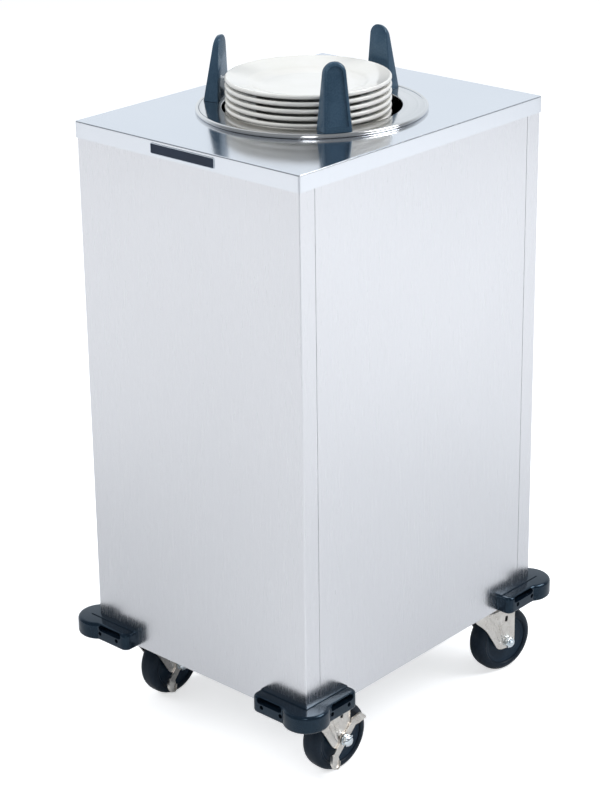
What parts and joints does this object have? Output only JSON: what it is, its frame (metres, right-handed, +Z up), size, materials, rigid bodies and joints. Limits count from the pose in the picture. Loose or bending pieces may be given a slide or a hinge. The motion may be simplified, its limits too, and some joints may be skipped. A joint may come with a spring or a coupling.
{
  "type": "plate dispenser cart",
  "caption": "Stainless steel plate dispenser cart: a cabinet on swivel casters with a sprung plate carrier, guide posts and corner bumpers.",
  "frame": {"origin": "on the floor under the middle of the cabinet", "axes": "+Z up; +X along the face with the name plate; -Y is the way that face looks"},
  "size_m": [0.4752, 0.5732, 1.0051],
  "materials": {
    "stainless_sheet": "satin brushed",
    "inner_sheet": "plain mill finish",
    "spun_stainless": "bright, lathe spun",
    "name_plate_metal": "satin dark navy",
    "frame_steel": "satin",
    "bright_steel": "bright",
    "zinc_plate": "pale zinc plating",
    "bush_plastic": "natural",
    "guide_plastic": "glossy blue-black",
    "knob_plastic": "black",
    "bumper_rubber": "smooth, slightly glossy black",
    "porcelain": "glossy white glaze",
    "wheel_core": "black",
    "wheel_tread": "smooth black"
  },
  "bodies": {
    "cabinet": {"top_lid": "stainless_sheet", "front_panel": "stainless_sheet", "rear_panel": "stainless_sheet", "left_side_panel": "stainless_sheet", "right_side_panel": "stainless_sheet", "base_pan": "inner_sheet", "front_caster_channel": "inner_sheet", "rear_caster_channel": "inner_sheet", "corner_posts": "inner_sheet", "left_lid_stiffener": "inner_sheet", "right_lid_stiffener": "inner_sheet", "name_plate": "name_plate_metal", "dispenser_flange": "spun_stainless", "dispenser_frame_ring": "frame_steel", "guide_rods": "bright_steel", "dispenser_bottom_ring": "frame_steel", "rod_nuts": "bright_steel", "rod_top_collars": "bright_steel", "rod_stop_cushions": "bumper_rubber", "lift_springs": "bright_steel", "bumper_screws": "bright_steel", "caster_top_plates": "zinc_plate", "caster_bolts": "bright_steel", "caster_nuts": "bright_steel", "bumper_front_right": "bumper_rubber", "bumper_front_left": "bumper_rubber", "bumper_rear_left": "bumper_rubber", "bumper_rear_right": "bumper_rubber"},
    "carrier": {"carrier_plate": "frame_steel", "carrier_column": "frame_steel", "carrier_spider": "frame_steel", "carrier_bushes": "bush_plastic", "carrier_clips": "bright_steel"},
    "plates": {"plate_stack": "porcelain"},
    "top_plate": {"top_plate": "porcelain"},
    "guide_1": {"guide_post_1": "guide_plastic", "guide_lock_1": "knob_plastic"},
    "guide_2": {"guide_post_2": "guide_plastic", "guide_lock_2": "knob_plastic"},
    "guide_3": {"guide_post_3": "guide_plastic", "guide_lock_3": "knob_plastic"},
    "fork_front_right": {"caster_fork_front_right": "zinc_plate", "wheel_axle_front_right": "bright_steel"},
    "wheel_front_right": {"wheel_core_front_right": "wheel_core", "wheel_tyre_front_right": "wheel_tread"},
    "brake_front_right": {"brake_lever_front_right": "zinc_plate"},
    "fork_front_left": {"caster_fork_front_left": "zinc_plate", "wheel_axle_front_left": "bright_steel"},
    "wheel_front_left": {"wheel_core_front_left": "wheel_core", "wheel_tyre_front_left": "wheel_tread"},
    "brake_front_left": {"brake_lever_front_left": "zinc_plate"},
    "fork_rear_left": {"caster_fork_rear_left": "zinc_plate", "wheel_axle_rear_left": "bright_steel"},
    "wheel_rear_left": {"wheel_core_rear_left": "wheel_core", "wheel_tyre_rear_left": "wheel_tread"},
    "fork_rear_right": {"caster_fork_rear_right": "zinc_plate", "wheel_axle_rear_right": "bright_steel"},
    "wheel_rear_right": {"wheel_core_rear_right": "wheel_core", "wheel_tyre_rear_right": "wheel_tread"}
  },
  "joints": [
    {"name": "carrier_slide", "type": "slide", "parent": "cabinet", "child": "carrier", "axis": [0, 0, 1], "range_m": [-0.576, 0], "stiffness_N_per_m": 590, "springref_m": 0.15, "deforming": ["lift_springs"]},
    {"name": "plates_lift", "type": "slide", "parent": "carrier", "child": "plates", "axis": [0, 0, 1], "range_m": [0, 0.15]},
    {"name": "top_plate_lift", "type": "slide", "parent": "plates", "child": "top_plate", "axis": [0, 0, 1], "range_m": [0, 0.15]},
    {"name": "guide_1_slide", "type": "slide", "parent": "cabinet", "child": "guide_1", "axis": [0.8192, -0.5736, 0], "range_m": [-0.0085, 0]},
    {"name": "guide_2_slide", "type": "slide", "parent": "cabinet", "child": "guide_2", "axis": [0.0872, 0.9962, 0], "range_m": [-0.0085, 0]},
    {"name": "guide_3_slide", "type": "slide", "parent": "cabinet", "child": "guide_3", "axis": [-0.9063, -0.4226, 0], "range_m": [-0.0085, 0]},
    {"name": "swivel_front_right", "type": "hinge", "parent": "cabinet", "child": "fork_front_right", "pos_m": [0.1635, -0.191, 0.1], "axis": [0, 0, 1], "continuous": true},
    {"name": "wheel_front_right_spin", "type": "hinge", "parent": "fork_front_right", "child": "wheel_front_right", "pos_m": [0.1664, -0.15411, 0.051], "axis": [0.9969, -0.0785, 0], "continuous": true},
    {"name": "brake_front_right_press", "type": "hinge", "parent": "fork_front_right", "child": "brake_front_right", "pos_m": [0.1664, -0.15411, 0.051], "axis": [0.9969, -0.0785, 0], "range_deg": [-22, 0]},
    {"name": "swivel_front_left", "type": "hinge", "parent": "cabinet", "child": "fork_front_left", "pos_m": [-0.1635, -0.191, 0.1], "axis": [0, 0, 1], "continuous": true},
    {"name": "wheel_front_left_spin", "type": "hinge", "parent": "fork_front_left", "child": "wheel_front_left", "pos_m": [-0.1635, -0.154, 0.051], "axis": [1, 0, 0], "continuous": true},
    {"name": "brake_front_left_press", "type": "hinge", "parent": "fork_front_left", "child": "brake_front_left", "pos_m": [-0.1635, -0.154, 0.051], "axis": [1, 0, 0], "range_deg": [-22, 0]},
    {"name": "swivel_rear_left", "type": "hinge", "parent": "cabinet", "child": "fork_rear_left", "pos_m": [-0.1635, 0.191, 0.1], "axis": [0, 0, 1], "continuous": true},
    {"name": "wheel_rear_left_spin", "type": "hinge", "parent": "fork_rear_left", "child": "wheel_rear_left", "pos_m": [-0.15963, 0.2278, 0.051], "axis": [0.9945, -0.1045, 0], "continuous": true},
    {"name": "swivel_rear_right", "type": "hinge", "parent": "cabinet", "child": "fork_rear_right", "pos_m": [0.1635, 0.191, 0.1], "axis": [0, 0, 1], "continuous": true},
    {"name": "wheel_rear_right_spin", "type": "hinge", "parent": "fork_rear_right", "child": "wheel_rear_right", "pos_m": [0.17119, 0.22719, 0.051], "axis": [0.9781, -0.2079, 0], "continuous": true}
  ]
}
